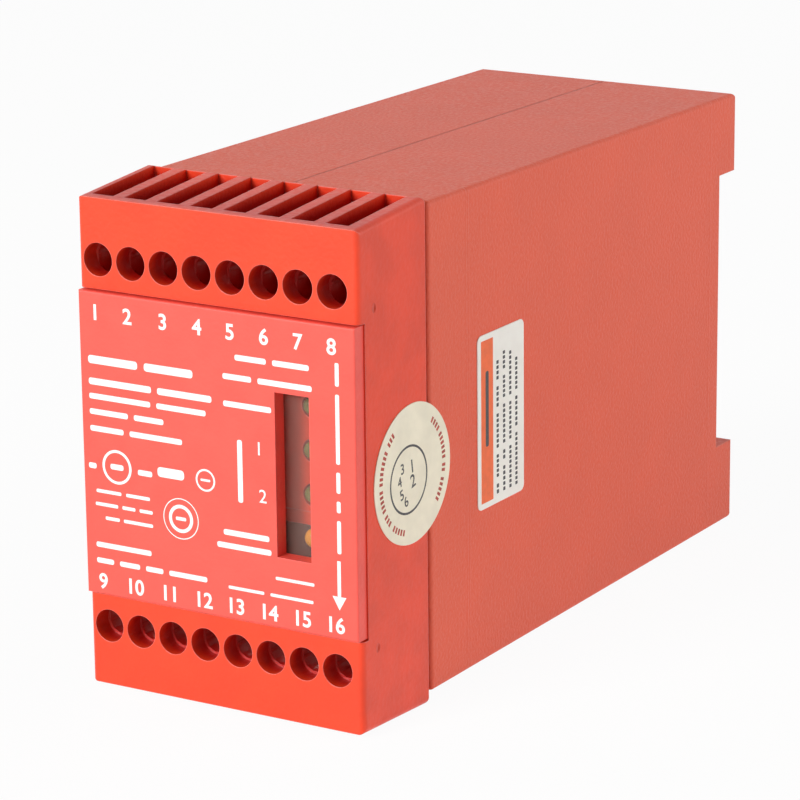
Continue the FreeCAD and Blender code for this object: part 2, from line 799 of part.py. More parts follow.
for name, height, side in rows:
    bars = [make_contact_bar(x, height, side) for x in row_places]
    parts[f"{name}_contact_bars"] = Part.makeCompound(bars)
    for number, x in enumerate(row_places, 1):
        parts[f"{name}_screw_{number}"] = make_clamp_screw(x, height)
        parts[f"{name}_cage_{number}"] = make_clamp_cage(x, height)

os.makedirs("parts", exist_ok=True)
for name, shape in parts.items():
    shape.exportStep(f"parts/{name}.step")
print(len(parts), "parts")
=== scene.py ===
import math

import bmesh
import bpy
from mathutils import Matrix, Vector


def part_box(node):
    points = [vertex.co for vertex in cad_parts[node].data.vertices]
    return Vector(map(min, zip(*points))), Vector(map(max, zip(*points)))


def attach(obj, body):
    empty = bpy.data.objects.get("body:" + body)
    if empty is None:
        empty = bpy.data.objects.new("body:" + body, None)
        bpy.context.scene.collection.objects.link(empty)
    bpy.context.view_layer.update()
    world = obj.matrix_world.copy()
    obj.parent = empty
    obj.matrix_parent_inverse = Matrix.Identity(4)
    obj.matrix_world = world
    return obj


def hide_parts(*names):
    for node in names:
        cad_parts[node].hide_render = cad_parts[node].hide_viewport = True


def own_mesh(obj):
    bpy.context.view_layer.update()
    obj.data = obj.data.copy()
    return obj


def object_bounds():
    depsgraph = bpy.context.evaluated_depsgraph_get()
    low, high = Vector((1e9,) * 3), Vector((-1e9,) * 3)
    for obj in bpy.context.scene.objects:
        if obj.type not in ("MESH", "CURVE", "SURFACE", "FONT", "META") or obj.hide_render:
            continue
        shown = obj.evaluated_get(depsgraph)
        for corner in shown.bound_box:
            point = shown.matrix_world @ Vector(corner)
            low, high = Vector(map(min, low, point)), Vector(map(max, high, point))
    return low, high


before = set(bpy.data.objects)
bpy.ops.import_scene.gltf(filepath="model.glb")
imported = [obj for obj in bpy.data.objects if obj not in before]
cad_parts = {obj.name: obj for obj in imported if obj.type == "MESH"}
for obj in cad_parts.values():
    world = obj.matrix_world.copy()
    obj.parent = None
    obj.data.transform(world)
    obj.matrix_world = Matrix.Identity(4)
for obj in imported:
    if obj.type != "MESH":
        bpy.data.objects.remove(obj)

cad_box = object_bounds()
mm = 0.001


# Case: a deep box moulded in one piece from red polyamide, open at the front, with two feet that
# stand over the rail.  The mould is spark-eroded, so the skin is matt with a fine leathery grain,
# and the mould's inserts have left faint raised lines round it.

def add(tree, kind, inputs=None, **settings):
    """Adds a shader node; each input takes a value or another node's output."""
    made = tree.nodes.new("ShaderNode" + kind)
    for name, value in settings.items():
        setattr(made, name, value)
    for name, value in (inputs or {}).items():
        if isinstance(value, bpy.types.NodeSocket):
            tree.links.new(value, made.inputs[name])
        else:
            made.inputs[name].default_value = value
    return made


def maths(tree, operation, first, second=0.0):
    """One step of arithmetic on values or other nodes' outputs."""
    return add(tree, "Math", {0: first, 1: second}, operation=operation).outputs["Value"]


def position(tree):
    """Where a point of the piece lies in the relay's frame."""
    return add(tree, "TexCoord").outputs["Object"]


def axes_of(tree):
    """That place's X, Y and Z in metres, as outputs by those names."""
    return add(tree, "SeparateXYZ", {"Vector": position(tree)}).outputs


def new_material(name):
    """A material with its node tree and its main shader."""
    material = bpy.data.materials.new(name)
    material.use_nodes = True
    tree = material.node_tree
    return material, tree, tree.nodes["Principled BSDF"]


def patches(tree, size, detail=3.0):
    """A cloudy pattern with patches about size millimetres across, fixed to the piece."""
    made = add(tree, "TexNoise", {"Vector": position(tree), "Scale": 1 / (size * mm),
                                  "Detail": detail})
    return made.outputs["Fac"]


def spread(tree, value, low, high, start=0.35, end=0.65):
    """Goes from low to high as a value goes from start to end, where most of a cloud lies."""
    made = add(tree, "MapRange", {"Value": value, "From Min": start, "From Max": end,
                                  "To Min": low, "To Max": high})
    return made.outputs["Result"]


def mixed(tree, factor, first, second):
    """Two colours mixed by a factor; each may be a colour or another node's output."""
    made = add(tree, "Mix", data_type="RGBA")
    for slot, value in ((0, factor), (6, first), (7, second)):
        if isinstance(value, bpy.types.NodeSocket):
            tree.links.new(value, made.inputs[slot])
        else:
            made.inputs[slot].default_value = value
    return made.outputs[2]


def shade(colour, factor):
    """A colour made lighter or darker, with its opacity."""
    return tuple(min(1.0, part * factor) for part in colour) + (1.0,)


def surface(name, colour, gloss, drift=6, depth_of_drift=0.06, grain=0.3, grain_depth=0.01,
            corner=0.0, pale=0.0, metallic=0.0, relief=None, specular=0.5):
    """A solid finish.  The colour drifts in soft patches, the skin has a fine grain that its gloss
    follows, corner rounds sharp edges as the mould does, and pale paints a highlight along them.
    Drift, grain, its depth and corner are in millimetres; relief is a larger height in metres."""
    material, tree, shader = new_material(name)
    cloud = patches(tree, drift)
    body = mixed(tree, spread(tree, cloud, 0, 1), shade(colour, 1 - depth_of_drift),
                 shade(colour, 1 + depth_of_drift))
    fine = patches(tree, grain, 4.0)
    tree.links.new(spread(tree, fine, *gloss), shader.inputs["Roughness"])
    shader.inputs["Metallic"].default_value = metallic
    shader.inputs["Specular IOR Level"].default_value = specular
    bump = add(tree, "Bump", {"Height": fine, "Strength": 1.0, "Distance": grain_depth * mm})
    lowest = bump
    if relief is not None:
        lowest = add(tree, "Bump", {"Height": relief(tree), "Strength": 1.0, "Distance": 1.0})
        tree.links.new(lowest.outputs["Normal"], bump.inputs["Normal"])
    if corner:
        round_off = add(tree, "Bevel", {"Radius": corner * mm}, samples=6)
        tree.links.new(round_off.outputs["Normal"], lowest.inputs["Normal"])
        true_face = add(tree, "NewGeometry")
        along = add(tree, "VectorMath", {0: round_off.outputs["Normal"],
                                         1: true_face.outputs["Normal"]}, operation="DOT_PRODUCT")
        # Painted highlight: along sharp edges the colour turns towards white where the rounded
        # normal leans from the face.
        edge = spread(tree, along.outputs["Value"], pale, 0.0, 0.80, 0.99)
        painted_highlight_white = [0.5 + 0.5 * part for part in colour]
        body = mixed(tree, edge, body, shade(painted_highlight_white, 1.0))
    tree.links.new(body, shader.inputs["Base Color"])
    tree.links.new(bump.outputs["Normal"], shader.inputs["Normal"])
    return material


def dress(material, *names):
    """Gives CAD nodes a material."""
    for name in names:
        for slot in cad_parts[name].material_slots:
            slot.material = material


ridge_places = (-76.5 * mm, -75.9 * mm, -3.0 * mm)
ridge_height = 0.05 * mm
ridge_half_width = 0.18 * mm


def insert_lines(tree):
    """Height of the faint ridges that the mould's inserts leave round the case."""
    along = axes_of(tree)["Y"]
    total = 0.0
    for y in ridge_places:
        away = maths(tree, "ABSOLUTE", maths(tree, "SUBTRACT", along, y))
        ridge = spread(tree, away, ridge_height, 0.0, 0.0, ridge_half_width)
        total = maths(tree, "ADD", total, ridge)
    return total


case_red = (0.81, 0.098, 0.036)
dress(surface("red_grained_plastic", case_red, (0.42, 0.58), drift=12, depth_of_drift=0.02,
              grain=0.5, grain_depth=0.16, corner=0.35, pale=0.26, relief=insert_lines,
              specular=0.62),
      "case")


# Rail latch: a black acetal slide in the lower foot, pushed up under the rail's edge by a small
# coil spring and drawn down with a screwdriver.  The spring is drawn steel wire with its ends
# closed against the latch and the ledge below it.

def finished(name, parts, material, body):
    """Turns a bmesh into a piece at the origin, in its material, that rides on a body."""
    mesh = bpy.data.meshes.new(name)
    parts.to_mesh(mesh)
    parts.free()
    piece = bpy.data.objects.new(name, mesh)
    bpy.context.scene.collection.objects.link(piece)
    mesh.materials.append(material)
    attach(piece, body)
    return piece


def smooth(piece, angle=35):
    """Shades the rounds smooth and leaves the corners sharp."""
    mesh = piece.data
    parts = bmesh.new()
    parts.from_mesh(mesh)
    for face in parts.faces:
        face.smooth = True
    for edge in parts.edges:
        edge.smooth = len(edge.link_faces) == 2 and edge.calc_face_angle(0.0) < math.radians(angle)
    parts.to_mesh(mesh)
    parts.free()


dress(surface("black_acetal", (0.018, 0.018, 0.019), (0.34, 0.48), grain=0.4,
              grain_depth=0.008, corner=0.2, pale=0.06), "rail_latch")

spring_low, spring_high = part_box("latch_spring")
spring_middle = (spring_low + spring_high) / 2
spring_height = spring_high.z - spring_low.z
wire_radius = 0.18 * mm
coil_radius = (spring_high.x - spring_low.x) / 2 - wire_radius
closed_turn_rise = 2.2 * wire_radius
open_turns_rise = spring_height - 2 * wire_radius - 2 * closed_turn_rise
steps_a_turn = 28
coil = bmesh.new()
wire_end = bmesh.ops.create_circle(coil, cap_ends=True, segments=10, radius=wire_radius)
bmesh.ops.rotate(coil, verts=wire_end["verts"], cent=(0, 0, 0),
                 matrix=Matrix.Rotation(math.radians(90), 3, "X"))
bmesh.ops.translate(coil, verts=wire_end["verts"], vec=(coil_radius, 0, 0))
wire_front = coil.faces[:] + coil.edges[:] + coil.verts[:]
for turns, rise in ((1, closed_turn_rise), (4, open_turns_rise), (1, closed_turn_rise)):
    steps = steps_a_turn * turns
    spun = bmesh.ops.spin(coil, geom=wire_front, cent=(0, 0, 0), axis=(0, 0, 1),
                          dvec=(0, 0, rise / steps), angle=2 * math.pi * turns, steps=steps)
    wire_front = spun["geom_last"]
bmesh.ops.translate(coil, verts=coil.verts, vec=(spring_middle.x, spring_middle.y,
                                                 spring_low.z + wire_radius))
bmesh.ops.recalc_face_normals(coil, faces=coil.faces)
spring_steel = surface("spring_wire", (0.42, 0.41, 0.39), (0.22, 0.38), grain=0.1,
                       grain_depth=0.004, metallic=1.0)
spring = finished("latch_spring_coil", coil, spring_steel, "module")
smooth(spring)
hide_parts("latch_spring")
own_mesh(spring)


# Circuit boards: glass-epoxy laminate under green lacquer.  The main and control boards stand on
# edge in the case, the terminal and indicator boards lie across the head and are soldered to them.

weave_height = 0.004 * mm


def bands(tree, way, scale, waver=0.0):
    """Waves across a piece, from 0 to 1."""
    return add(tree, "TexWave", {"Vector": position(tree), "Scale": scale, "Distortion": waver},
               bands_direction=way).outputs["Fac"]


def woven_relief(tree):
    """Height of the glass cloth that shows through the lacquer."""
    crossing = maths(tree, "MULTIPLY", bands(tree, "Y", 900), bands(tree, "Z", 900))
    return maths(tree, "MULTIPLY", crossing, weave_height)


dress(surface("green_lacquered_laminate", (0.022, 0.17, 0.055), (0.16, 0.30), drift=4,
              depth_of_drift=0.18, grain=0.6, grain_depth=0.004, corner=0.1,
              relief=woven_relief),
      "main_board", "control_board", "terminal_board", "indicator_board")


# Power parts: two sealed relays in pale covers, a mains transformer with a stack of core sheets and
# a taped winding, a bridge rectifier, two cans and two chips, all soldered to the upright boards.

dress(surface("relay_cover_plastic", (0.62, 0.60, 0.52), (0.22, 0.34), grain=0.5,
              grain_depth=0.005, corner=0.4, pale=0.2), "relay_1", "relay_2")
sheet_edge_height = 0.05 * mm


def sheet_edges(tree):
    """Height of the edges of the stacked core sheets."""
    return maths(tree, "MULTIPLY", bands(tree, "Z", 330, 0.4), sheet_edge_height)


dress(surface("core_sheets", (0.20, 0.20, 0.22), (0.35, 0.55), grain=0.4, grain_depth=0.01,
              metallic=0.9, relief=sheet_edges), "transformer_core")
dress(surface("winding_tape", (0.62, 0.38, 0.045), (0.14, 0.26), drift=3, depth_of_drift=0.14,
              grain=1.2, grain_depth=0.04, corner=0.5), "transformer_coil")
dress(surface("drawn_can", (0.70, 0.71, 0.73), (0.20, 0.34), grain=0.3, grain_depth=0.004,
              corner=0.5, metallic=1.0), "capacitor_1", "capacitor_2")
dress(surface("moulded_black_epoxy", (0.022, 0.022, 0.023), (0.40, 0.56), grain=0.25,
              grain_depth=0.01, corner=0.2, pale=0.05),
      "rectifier", "logic_chip_1", "logic_chip_2")


# Terminal head: a separate moulding in a brighter red that plugs into the case and holds both rows
# of clamps.  Its faces are smoother than the case's, the clamp ways inside carry painted shade that
# deepens the red further in, and each side has two tiny slanted dimples where the mould's pins sat.

head_low, head_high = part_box("terminal_head")
dimple_y = -100.4 * mm
dimple_heights = (22.7 * mm, -24.4 * mm)
dimple_depth = 0.5 * mm
dimple_floor = 0.1 * mm
dimple_radius = 0.7 * mm
dimple_slant = -30
dimple_narrowing = 1.5


def dimples(tree):
    """Height, below zero, of the two slanted dimples on the head's sides."""
    total = 0.0
    for z in dimple_heights:
        centred = add(tree, "Mapping", {"Vector": position(tree), "Location": (0, -dimple_y, -z)})
        oval = add(tree, "Mapping", {"Vector": centred.outputs["Vector"],
                                     "Scale": (0, dimple_narrowing, 1.0),
                                     "Rotation": (math.radians(dimple_slant), 0, 0)})
        away = add(tree, "VectorMath", {0: oval.outputs["Vector"]}, operation="LENGTH")
        dip = spread(tree, away.outputs["Value"], -dimple_depth, 0.0, dimple_floor, dimple_radius)
        total = maths(tree, "ADD", total, dip)
    return total


head_red = (0.85, 0.055, 0.012)
head_plastic = surface("red_satin_plastic", head_red, (0.34, 0.44), drift=6,
                       depth_of_drift=0.06, grain=0.7, grain_depth=0.07, corner=0.2,
                       pale=0.42, relief=dimples)


# Painted shade in the clamp ways: the red darkens from a little inside their mouths to its deepest
# further in.
ways_from = 20.5 * mm
shade_starts_in = 0.1 * mm
deepest_from = 1.8 * mm
painted_shade_red = (0.50, 0.006, 0.002)


def deep_in_ways(tree):
    """Where painted shade falls on the head: 0 on the outside and on the lamp plate, rising to 1
    inside the clamp ways.
    """
    axes = axes_of(tree)
    across = maths(tree, "ABSOLUTE", axes["X"])
    height = maths(tree, "ABSOLUTE", axes["Z"])
    depth = maths(tree, "SUBTRACT", axes["Y"], head_low.y)
    for outer, inner in ((head_high.x, across), (head_high.z, height), (height, ways_from)):
        depth = maths(tree, "MINIMUM", depth, maths(tree, "SUBTRACT", outer, inner))
    return spread(tree, depth, 0.0, 1.0, shade_starts_in, deepest_from)


def tint(material, pattern, colour):
    """Mixes another colour into a finish where a pattern rises from 0 to 1."""
    tree = material.node_tree
    skin = tree.nodes["Principled BSDF"].inputs["Base Color"]
    tree.links.new(mixed(tree, pattern(tree), skin.links[0].from_socket, shade(colour, 1.0)), skin)


# Paints shade into the clamp ways as a deeper red.
tint(head_plastic, deep_in_ways, painted_shade_red)
dress(head_plastic, "terminal_head")


# Clamps: in each way a bright zinc-plated screw draws a steel cage up against a tinned brass bar.
# The screws have round slotted heads, left at any angle by whoever turned them last, and painted
# shade darkens their slots and the screws behind their round faces.

dress(surface("tinned_brass", (0.62, 0.47, 0.24), (0.24, 0.40), drift=2, depth_of_drift=0.15,
              grain=0.2, grain_depth=0.004, corner=0.1, metallic=1.0),
      "upper_contact_bars", "lower_contact_bars")
zinc_sheet = surface("zinc_plated_sheet", (0.58, 0.58, 0.57), (0.26, 0.42), drift=1.2,
                     depth_of_drift=0.12, grain=0.16, grain_depth=0.004, corner=0.1,
                     metallic=1.0)
zinc_screw = surface("zinc_plated_screw", (0.84, 0.83, 0.79), (0.28, 0.46), drift=0.8,
                     depth_of_drift=0.12, grain=0.12, grain_depth=0.003, corner=0.06,
                     metallic=1.0)
head_height = 2.7 * mm
head_rise = 1.1 * mm
head_crown = 0.3 * mm
head_corner = 0.12 * mm
shank_radius = 1.25 * mm
shank_tip = 0.3 * mm
slot_width = 0.6 * mm
slot_depth = 1.0 * mm
screw_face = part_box("upper_screw_1")[0].y - head_rise
painted_slot_shade = (0.10, 0.095, 0.09)


def down_in_slot(tree):
    """Where painted shade falls on a screw: 0 on its round face, rising to 1 down its slot and over
    the head's side and shank behind it.
    """
    return spread(tree, axes_of(tree)["Y"], 0.0, 1.0, screw_face + 0.3 * mm,
                  screw_face + 0.7 * mm)


# Painted shade: the slots, and the screws behind their faces, turn a dark grey.
tint(zinc_screw, down_in_slot, painted_slot_shade)


def carry_along(parts, profile):
    """Carries a round piece's open rim along y through each radius and depth, and caps it."""
    rim = [edge for edge in parts.edges if edge.is_boundary]
    for reach, depth in profile:
        made = bmesh.ops.extrude_edge_only(parts, edges=rim)["geom"]
        ring = [part for part in made if isinstance(part, bmesh.types.BMVert)]
        rim = [part for part in made if isinstance(part, bmesh.types.BMEdge) and part.is_boundary]
        for vertex in ring:
            out = Vector((vertex.co.x, 0, vertex.co.z)).normalized() * reach
            vertex.co = Vector((out.x, depth, out.z))
    bmesh.ops.contextual_create(parts, geom=rim)


def everything(parts):
    """All the corners, edges and faces of a mesh."""
    return parts.verts[:] + parts.edges[:] + parts.faces[:]


def cut_slot(parts):
    """Cuts a slot with a flat floor along x into a screw's face, which lies at y = 0."""
    near = 1e-6
    walls = (-slot_width / 2, slot_width / 2)
    for wall in walls:
        bmesh.ops.bisect_plane(parts, geom=everything(parts), plane_co=(0, 0, wall),
                               plane_no=(0, 0, 1))
    bmesh.ops.bisect_plane(parts, geom=everything(parts), plane_co=(0, slot_depth, 0),
                           plane_no=(0, 1, 0))
    middles = [(face, face.calc_center_median()) for face in parts.faces]
    in_slot = [face for face, middle in middles
               if abs(middle.z) < walls[1] and middle.y < slot_depth - near]
    bmesh.ops.delete(parts, geom=in_slot, context="FACES")
    mouth = [edge for edge in parts.edges
             if edge.is_boundary and max(end.co.y for end in edge.verts) < near]
    made = bmesh.ops.extrude_edge_only(parts, edges=mouth)["geom"]
    for part in made:
        if isinstance(part, bmesh.types.BMVert):
            part.co.y = slot_depth
    bmesh.ops.remove_doubles(parts, verts=parts.verts, dist=1e-7)
    for wall in walls:
        along_wall = [vertex for vertex in parts.verts if abs(vertex.co.y - slot_depth) < near
                      and abs(vertex.co.z - wall) < near]
        along_wall.sort(key=lambda vertex: vertex.co.x)
        for ends in (along_wall[:2], along_wall[-2:]):
            bmesh.ops.contextual_create(parts, geom=ends)
    open_edges = [edge for edge in parts.edges if edge.is_boundary or edge.is_wire]
    bmesh.ops.edgenet_fill(parts, edges=open_edges)


def screw_mesh(low, high):
    """A slotted round-head screw along y, its head at the low end."""
    radius = (high.x - low.x) / 2
    length = high.y - low.y + head_rise
    parts = bmesh.new()
    bmesh.ops.create_circle(parts, cap_ends=True, segments=48, radius=radius - head_crown)
    bmesh.ops.rotate(parts, verts=parts.verts, cent=(0, 0, 0),
                     matrix=Matrix.Rotation(math.radians(-90), 3, "X"))
    carry_along(parts, ((radius - head_crown * 0.3, head_crown * 0.3), (radius, head_crown),
                        (radius, head_height - head_corner), (radius - head_corner, head_height),
                        (shank_radius, head_height), (shank_radius, length - shank_tip),
                        (shank_radius - shank_tip, length)))
    cut_slot(parts)
    bmesh.ops.recalc_face_normals(parts, faces=parts.faces)
    return parts


screw_to_screw = 37
for row, row_angle in (("upper", 71), ("lower", 18)):
    for way in range(1, 9):
        dress(zinc_sheet, f"{row}_cage_{way}")
        node = f"{row}_screw_{way}"
        low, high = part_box(node)
        middle = (low + high) / 2
        parts = screw_mesh(low, high)
        angle = (screw_to_screw * way + row_angle) % 180
        bmesh.ops.rotate(parts, verts=parts.verts, cent=(0, 0, 0),
                         matrix=Matrix.Rotation(math.radians(angle), 3, "Y"))
        bmesh.ops.translate(parts, verts=parts.verts, vec=(middle.x, low.y - head_rise, middle.z))
        screw = finished(f"{node}_slotted", parts, zinc_screw, node)
        smooth(screw)
        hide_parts(node)


# Lamps: three green and one amber light-emitting diode behind the window, moulded in tinted epoxy
# with a round end.  The green ones have a flange.  The amber one stands out of a black block, which
# sits in the head's recessed plate under a strip of the head's own plastic.

diode_share = 0.66
diode_set_back = 0.7 * mm
diode_lift = 0.15 * mm
flange_thickness = 0.8 * mm
shortest_with_flange = 2 * mm


def diode(low, high):
    """A lamp along y with its round end at the low end."""
    radius = (high.x - low.x) / 2
    barrel = diode_share * radius
    dome = 0.75 * barrel
    tip = low.y + diode_set_back
    length = high.y - tip
    parts = bmesh.new()
    bmesh.ops.create_uvsphere(parts, u_segments=40, v_segments=20, radius=barrel)
    bmesh.ops.rotate(parts, verts=parts.verts, cent=(0, 0, 0),
                     matrix=Matrix.Rotation(math.radians(90), 3, "X"))
    bmesh.ops.bisect_plane(parts, geom=everything(parts), plane_co=(0, 0, 0), plane_no=(0, 1, 0),
                           clear_outer=True)
    bmesh.ops.scale(parts, verts=parts.verts, vec=(1, dome / barrel, 1))
    if length > shortest_with_flange:
        shoulder = length - dome - flange_thickness
        carry_along(parts, ((barrel, shoulder), (radius, shoulder), (radius, length - dome)))
    else:
        carry_along(parts, ((barrel, length - dome),))
    bmesh.ops.recalc_face_normals(parts, faces=parts.faces)
    middle = (low + high) / 2
    bmesh.ops.translate(parts, verts=parts.verts,
                        vec=(middle.x, tip + dome, middle.z + diode_lift))
    return parts


def block(name, low, high, rounding, material):
    """A small moulded block between two corners, with its edges rounded."""
    parts = bmesh.new()
    bmesh.ops.create_cube(parts, size=1.0)
    bmesh.ops.scale(parts, verts=parts.verts, vec=high - low)
    bmesh.ops.translate(parts, verts=parts.verts, vec=(low + high) / 2)
    bmesh.ops.bevel(parts, geom=parts.edges[:], offset=rounding, affect="EDGES", segments=3,
                    profile=0.5, material=-1)
    return finished(name, parts, material, "module")


block_low, block_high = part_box("lamp_block")
block_top = block_high.z - 1.6 * mm
black_plastic = surface("black_block", (0.03, 0.026, 0.024), (0.40, 0.55), grain=0.3,
                        grain_depth=0.01)
black_block = block("lamp_block_low", block_low, Vector((block_high.x, block_high.y, block_top)),
                    0.15 * mm, black_plastic)
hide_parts("lamp_block")
edge_set_back = 0.02 * mm
edge_overlap = 0.25 * mm
block("lamp_plate_edge", Vector((block_low.x, block_low.y + edge_set_back, block_top)),
      block_high + Vector((0, 0, edge_overlap)), 0.02 * mm, head_plastic)

green_epoxy = surface("green_epoxy", (0.13, 0.19, 0.055), (0.10, 0.22), drift=1,
                      depth_of_drift=0.2, grain=0.3, grain_depth=0.003)
amber_epoxy = surface("amber_epoxy", (0.85, 0.40, 0.04), (0.10, 0.22), drift=1,
                      depth_of_drift=0.15, grain=0.3, grain_depth=0.003)
for node, epoxy, slot in (("green_lamp_1", green_epoxy, "green_lens"),
                          ("green_lamp_2", green_epoxy, "green_lens"),
                          ("green_lamp_3", green_epoxy, "green_lens"),
                          ("amber_lamp", amber_epoxy, "amber_lens")):
    lens = finished(f"{node}_dome", diode(*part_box(node)), epoxy, "module")
    smooth(lens, 50)
    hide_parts(node)


# Front cover and window: a snap-in lid in a pinker red, satin from a finely finished mould, with a
# smoked acrylic pane held behind its opening.

cover_red = (0.93, 0.103, 0.075)
dress(surface("red_cover_plastic", cover_red, (0.34, 0.46), drift=5, depth_of_drift=0.045,
              grain=0.6, grain_depth=0.06, corner=0.2, pale=0.14), "front_cover")
pane = surface("smoked_acrylic", (0.50, 0.32, 0.27), (0.06, 0.12), drift=4,
               depth_of_drift=0.1, grain=2, grain_depth=0.003)
pane.node_tree.nodes["Principled BSDF"].inputs["Alpha"].default_value = 0.15
dress(pane, "window_pane")


# Print on the cover: white pad-printed ink, a few thousandths of a millimetre thick.  Each terminal
# has its plain number; the other places hold plain bars, rings and an arrow.  Each drawing is made
# flat, at its distances across and up the relay in millimetres, and is then stood on its face.

ink_thickness = 0.006 * mm
cover_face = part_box("front_cover")[0].y
white_ink = surface("white_ink", (0.93, 0.92, 0.90), (0.38, 0.52), drift=1,
                    depth_of_drift=0.02, grain=0.12, grain_depth=0.003)


def facing_front(depth):
    """Takes a flat drawing, x right and y up, to the front of the relay."""
    return Matrix(((1, 0, 0, 0), (0, 0, -1, depth), (0, 1, 0, 0), (0, 0, 0, 1)))


def bar(drawing, x, y, length, height, turn=0.0, roundness=0.35):
    """A bar with rounded corners, its middle at x and y, turned in degrees."""
    turned = Matrix.Translation((x * mm, y * mm, 0)) @ Matrix.Rotation(math.radians(turn), 4, "Z")
    sized = Matrix.Diagonal((length * mm, height * mm, 1, 1))
    made = bmesh.ops.create_grid(drawing, x_segments=1, y_segments=1, size=0.5,
                                 matrix=turned @ sized)
    bmesh.ops.bevel(drawing, geom=made["verts"], offset=roundness * min(height, length) * mm,
                    affect="VERTICES", segments=3, profile=0.5, material=-1)


def arc(drawing, x, y, radius, width, start=0.0, sweep=360.0):
    """A ring, or part of one, of that width; angles in degrees from the right, anticlockwise."""
    begin = Vector((math.cos(math.radians(start)), math.sin(math.radians(start)), 0))
    ends = [drawing.verts.new(Vector((x, y, 0)) * mm + begin * (radius + side * width / 2) * mm)
            for side in (-1, 1)]
    edge = drawing.edges.new(ends)
    bmesh.ops.spin(drawing, geom=ends + [edge], cent=(x * mm, y * mm, 0), axis=(0, 0, 1),
                   angle=math.radians(sweep), steps=max(3, round(abs(sweep) / 6)),
                   use_merge=sweep == 360.0)


def thicken(flat, weight):
    """Moves the outline of a flat drawing outward by a weight, a little further at corners."""
    bluntest = 0.6
    ways_out = {}
    for edge in flat.edges:
        if edge.is_boundary:
            first, second = edge.verts
            out = (second.co - first.co).cross(Vector((0, 0, 1))).normalized()
            if out.dot(edge.link_faces[0].calc_center_median() - first.co) > 0:
                out.negate()
            for vertex in edge.verts:
                ways_out.setdefault(vertex, []).append(out)
    for vertex, outs in ways_out.items():
        together = sum(outs, Vector()) / len(outs)
        vertex.co += together.normalized() * weight / max(bluntest, together.length)


figure_share = 0.72


def figures(drawing, text, x, y, height, weight=0.0, turn=0.0):
    """Plain figures, their middle at x and y, with a little weight added all round."""
    curve = bpy.data.curves.new("figures", "FONT")
    curve.body = text
    curve.size = height / figure_share
    curve.align_x = "CENTER"
    curve.align_y = "CENTER"
    holder = bpy.data.objects.new("figures", curve)
    mesh = bpy.data.meshes.new_from_object(holder)
    mesh.transform(Matrix.Translation((x * mm, y * mm, 0))
                   @ Matrix.Rotation(math.radians(turn), 4, "Z") @ Matrix.Scale(mm, 4))
    flat = bmesh.new()
    flat.from_mesh(mesh)
    thicken(flat, weight * mm)
    flat.to_mesh(mesh)
    flat.free()
    drawing.from_mesh(mesh)
    bpy.data.objects.remove(holder)
    bpy.data.meshes.remove(mesh)


def printed(name, drawing, placing, ink):
    """Gives a flat drawing the thickness of ink, and lays it on its face of the relay."""
    bmesh.ops.remove_doubles(drawing, verts=drawing.verts, dist=1e-7)
    for face in drawing.faces:
        if face.normal.z < 0:
            face.normal_flip()
    made = bmesh.ops.extrude_face_region(drawing, geom=drawing.faces[:], use_keep_orig=True)["geom"]
    top = [part for part in made if isinstance(part, bmesh.types.BMVert)]
    bmesh.ops.translate(drawing, verts=top, vec=(0, 0, ink_thickness))
    bmesh.ops.recalc_face_normals(drawing, faces=drawing.faces)
    bmesh.ops.transform(drawing, matrix=placing, verts=drawing.verts)
    return finished(name, drawing, ink, "module")


cover_front = facing_front(cover_face)
number_places = (-19.5, -14.15, -8.3, -2.7, 2.6, 8.0, 13.35, 18.65)
upper_numbers_at = 17.9
lower_numbers_at = -20.6
number_height = 2.2
number_weight = 0.07
drawing = bmesh.new()
for number, x in enumerate(number_places, 1):
    figures(drawing, str(number), x, upper_numbers_at, number_height, number_weight)
    figures(drawing, str(number + 8), x, lower_numbers_at, number_height, number_weight)
printed("terminal_numbers", drawing, cover_front, white_ink)


def words(drawing, x, y, lengths, height, gap=1.0, turn=0.0, dash=None):
    """A row of bars in word lengths from x and y in the direction turn, each in dashes if asked."""
    along = Vector((math.cos(math.radians(turn)), math.sin(math.radians(turn))))
    start = Vector((x, y))
    inked, roundness = (0.68, 0.2) if dash else (1.0, 0.35)
    for length in lengths:
        dashes = max(1, round(length / dash)) if dash else 1
        step = length / dashes
        for number in range(dashes):
            middle = start + along * step * (number + 0.5)
            bar(drawing, middle.x, middle.y, step * inked, height, turn, roundness)
        start += along * (length + gap)


drawing = bmesh.new()
words(drawing, -20.9, 11.3, (8.2, 8.0), 1.15, gap=1.1)
words(drawing, -20.9, 8.2, (10.4, 8.9), 0.95)
for x, y, lengths in ((-20.9, 6.1, (10.2, 8.1)), (-20.9, 3.9, (6.4, 4.9)),
                      (-20.9, 1.5, (5.6, 8.7)), (3.3, 14.6, (5.0, 5.8)), (1.3, 11.8, (4.6, 8.6)),
                      (1.3, 8.0, (7.7,))):
    words(drawing, x, y, lengths, 0.80)
words(drawing, 3.8, -5.6, (8.8,), 0.80, turn=90)
words(drawing, 0.9, -10.1, (7.4,), 0.80)
words(drawing, -0.2, -12.0, (8.8,), 0.80)
words(drawing, -20.5, -15.2, (9.3,), 0.75)
words(drawing, -20.5, -17.5, (2.9, 3.4, 2.9, 6.3), 0.75)
printed("heading_bars", drawing, cover_front, white_ink)

drawing = bmesh.new()
words(drawing, -20.2, -7.4, (4.2, 4.0), 0.50, gap=0.8)
words(drawing, -20.4, -9.3, (3.8, 2.2, 2.2), 0.50, gap=0.7)
words(drawing, -18.8, -11.2, (2.4, 4.9), 0.50, gap=0.7)
words(drawing, 9.2, -15.4, (6.2,), 0.45)
words(drawing, 1.5, -17.9, (5.8, 6.9), 0.45)
words(drawing, 19.45, -10.4, (4.6, 1.6, 2.9, 9.6, 3.2), 0.62, gap=1.1, turn=90)
printed("note_bars", drawing, cover_front, white_ink)

